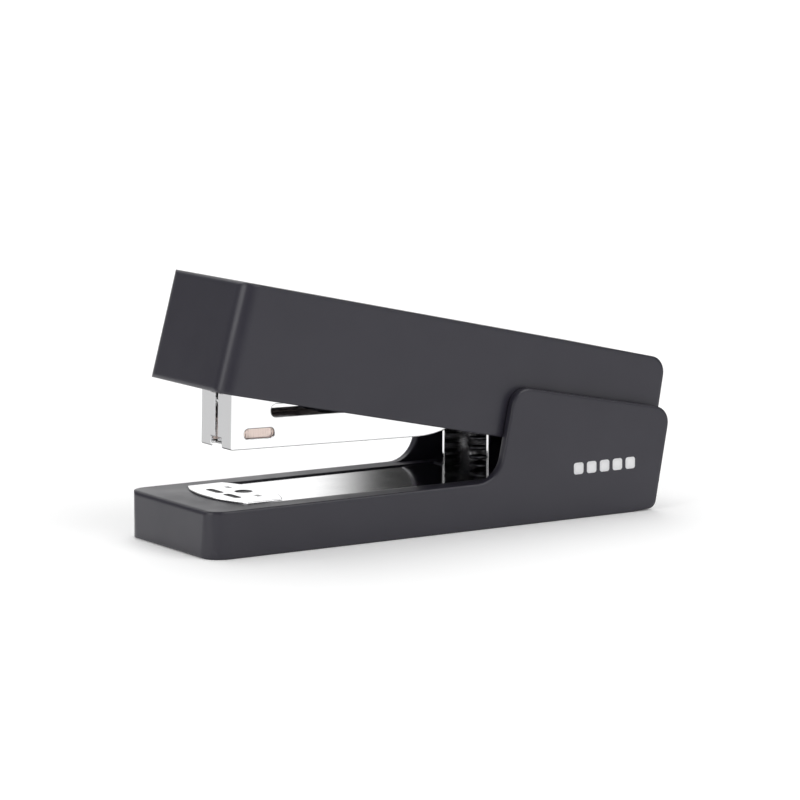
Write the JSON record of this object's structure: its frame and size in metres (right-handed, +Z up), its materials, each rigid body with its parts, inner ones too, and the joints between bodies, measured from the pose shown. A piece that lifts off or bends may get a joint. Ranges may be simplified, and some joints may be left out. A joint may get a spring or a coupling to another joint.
{
  "type": "desktop stapler",
  "caption": "Desktop stapler with a slab cover hinged between raised cheeks, a spring-lifted magazine, a turning anvil and a bright base plate.",
  "frame": {"origin": "centre of the resting stapler's bounding box, on the surface it stands on", "axes": "+X from the nose to the rear, +Y across to the far cheek, +Z up"},
  "size_m": [0.1412, 0.043, 0.0682],
  "materials": {
    "abs_base": "dark grey ABS, satin moulded",
    "abs_cover": "dark grey ABS, satin moulded",
    "rubber_pad": "black anti-slip rubber",
    "chrome": "polished chrome-plated steel",
    "plated_steel": "zinc-plated steel",
    "spring_steel": "oil-tempered spring wire",
    "black_wire": "black-finished spring wire",
    "staple_wire": "copper-coated staple wire",
    "dark_plastic": "black acetal"
  },
  "bodies": {
    "base": {"base_housing": "abs_base", "base_pad": "rubber_pad", "base_plate": "chrome", "plate_screws": "plated_steel", "hinge_pin": "plated_steel", "pin_clip": "spring_steel", "pivot_washers": "plated_steel", "lift_spring": "black_wire"},
    "anvil": {"anvil": "chrome", "anvil_button": "dark_plastic", "anvil_spring": "spring_steel"},
    "magazine": {"magazine_channel": "chrome", "staple_rail": "plated_steel", "rail_rivets": "plated_steel", "staple_strip": "staple_wire", "pusher_rod": "plated_steel", "rod_stop": "plated_steel", "pusher_spring": "spring_steel", "head_spring": "spring_steel"},
    "pusher": {"pusher": "plated_steel"},
    "head": {"head_cover": "abs_cover", "head_frame": "plated_steel", "driver_blade": "spring_steel", "driver_rivets": "plated_steel", "cover_screws": "plated_steel"}
  },
  "joints": [
    {"name": "magazine_hinge", "type": "hinge", "parent": "base", "child": "magazine", "pos_m": [0.0514, 0, 0.0265], "axis": [0, 1, 0], "range_deg": [-6.4, 0], "stiffness_Nm_per_rad": 1.5, "springref_deg": 11.46, "deforming": ["lift_spring"]},
    {"name": "head_hinge", "type": "hinge", "parent": "magazine", "child": "head", "pos_m": [0.0514, 0, 0.0265], "axis": [0, 1, 0], "range_deg": [-5.9, 60], "stiffness_Nm_per_rad": 0.8, "springref_deg": 2.01},
    {"name": "pusher_slide", "type": "slide", "parent": "magazine", "child": "pusher", "axis": [0.9998, 0, -0.0209], "range_m": [0, 0.033], "stiffness_N_per_m": 40, "springref_m": -0.03, "deforming": ["pusher_spring"]},
    {"name": "anvil_turn", "type": "hinge", "parent": "base", "child": "anvil", "pos_m": [-0.051, 0, 0.01215], "axis": [0, 0, 1], "range_deg": [0, 180]}
  ]
}
